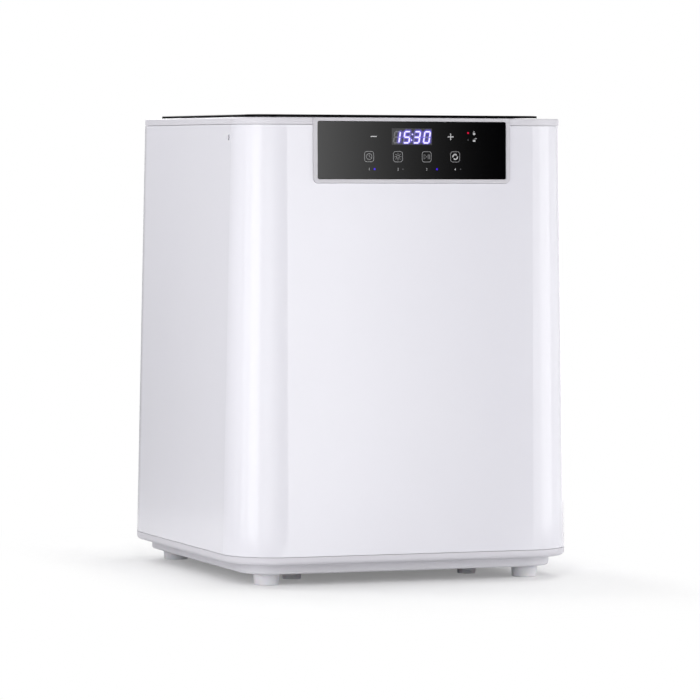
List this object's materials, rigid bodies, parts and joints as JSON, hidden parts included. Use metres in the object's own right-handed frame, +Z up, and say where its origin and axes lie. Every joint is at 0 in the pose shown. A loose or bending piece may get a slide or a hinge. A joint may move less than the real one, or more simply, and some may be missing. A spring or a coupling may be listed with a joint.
{
  "type": "light curing cabinet",
  "caption": "Top-loading ultraviolet post-curing cabinet for dental resin prints: hinged dark lid, touch panel with timer, mirror chamber and turntable.",
  "frame": {"origin": "centre of the outline on the floor, under the feet", "axes": "+Z up, -Y to the front with the control panel, +X to the right as seen from the front"},
  "size_m": [0.4, 0.412, 0.5132],
  "materials": {
    "white_shell": "gloss white ABS, moulded",
    "pale_trim": "satin pale grey ABS",
    "pan_plastic": "matt pale grey ABS",
    "foot_rubber": "soft white silicone rubber",
    "rear_plastic": "fine textured white ABS",
    "black_plastic": "black glass-filled nylon",
    "dark_acrylic": "smoked acrylic, polished",
    "lid_rim_plastic": "satin black ABS",
    "black_glass": "black-backed glass",
    "display": "smoked display face",
    "circuit_board": "green solder mask",
    "white_board": "white solder mask",
    "led_body": "clear silicone over a ceramic body",
    "mirror_steel": "mirror polished stainless steel",
    "aluminium": "anodised, extruded",
    "clear_plastic": "clear acrylic, polished",
    "floor_plastic": "satin white ABS",
    "steel": "zinc plated steel",
    "black_screw": "black oxide steel",
    "hinge_steel": "brushed stainless steel",
    "brass": "turned brass",
    "sintered_bronze": "sintered bronze",
    "magnet": "nickel plated",
    "motor_steel": "plated motor can",
    "supply_case": "folded aluminium",
    "ribbon": "white flat cable"
  },
  "bodies": {
    "cabinet": {"foot_rear_left": "foot_rubber", "foot_rear_right": "foot_rubber", "foot_front_left": "foot_rubber", "foot_front_right": "foot_rubber", "inner_feet": "foot_rubber", "base_screws": "steel", "base_pan": "pan_plastic", "lower_trim_ring": "pale_trim", "outer_shell": "white_shell", "rear_panel": "rear_plastic", "case_screws": "black_screw", "ac_inlet": "black_plastic", "inlet_pins": "brass", "switch_housing": "black_plastic", "fan_frame": "black_plastic", "fan_guard": "black_plastic", "fan_screws": "black_screw", "top_frame": "pale_trim", "hinge_base_leaves": "hinge_steel", "hinge_base_screws": "steel", "lid_sensor": "black_plastic", "lock_solenoid": "motor_steel", "control_bezel": "pale_trim", "control_glass": "black_glass", "control_board": "circuit_board", "display_module": "display", "indicator_leds": "led_body", "touch_springs": "brass", "control_ribbon": "ribbon", "liner_left": "mirror_steel", "liner_right": "mirror_steel", "liner_front": "mirror_steel", "liner_rear": "mirror_steel", "corner_posts": "aluminium", "led_boards": "white_board", "led_covers": "clear_plastic", "uv_leds": "led_body", "chamber_floor": "floor_plastic", "base_windows": "clear_plastic", "base_led_boards": "white_board", "standoffs": "brass", "deck_pillars": "steel", "motor_bracket": "steel", "gear_motor": "motor_steel", "turntable_bushing": "sintered_bronze", "power_supply": "supply_case", "main_board": "circuit_board"},
    "lid": {"lid_panel": "dark_acrylic", "lid_frame": "lid_rim_plastic", "lid_strike": "steel", "lid_magnet": "magnet", "hinge_lid_leaves": "hinge_steel", "hinge_pins": "steel", "hinge_lid_screws": "steel"},
    "bolt": {"lock_bolt": "steel"},
    "turntable": {"turntable_plate": "clear_plastic", "turntable_hub": "aluminium", "drive_shaft": "steel"},
    "fan_wheel": {"fan_rotor": "black_plastic"},
    "rocker": {"switch_rocker": "black_plastic"}
  },
  "joints": [
    {"name": "lid_hinge", "type": "hinge", "parent": "cabinet", "child": "lid", "pos_m": [0, 0.186, 0.5099], "axis": [-1, 0, 0], "range_deg": [0, 100]},
    {"name": "turntable_spin", "type": "hinge", "parent": "cabinet", "child": "turntable", "pos_m": [0, 0.006, 0.1], "axis": [0, 0, 1], "continuous": true},
    {"name": "fan_spin", "type": "hinge", "parent": "cabinet", "child": "fan_wheel", "pos_m": [-0.084, 0.19, 0.092], "axis": [0, 1, 0], "continuous": true},
    {"name": "rocker_tip", "type": "hinge", "parent": "cabinet", "child": "rocker", "pos_m": [0.1, 0.193, 0.082], "axis": [-1, 0, 0], "range_deg": [0, 16]},
    {"name": "bolt_slide", "type": "slide", "parent": "cabinet", "child": "bolt", "axis": [0, 1, 0], "range_m": [0, 0.008], "stiffness_N_per_m": 100}
  ]
}
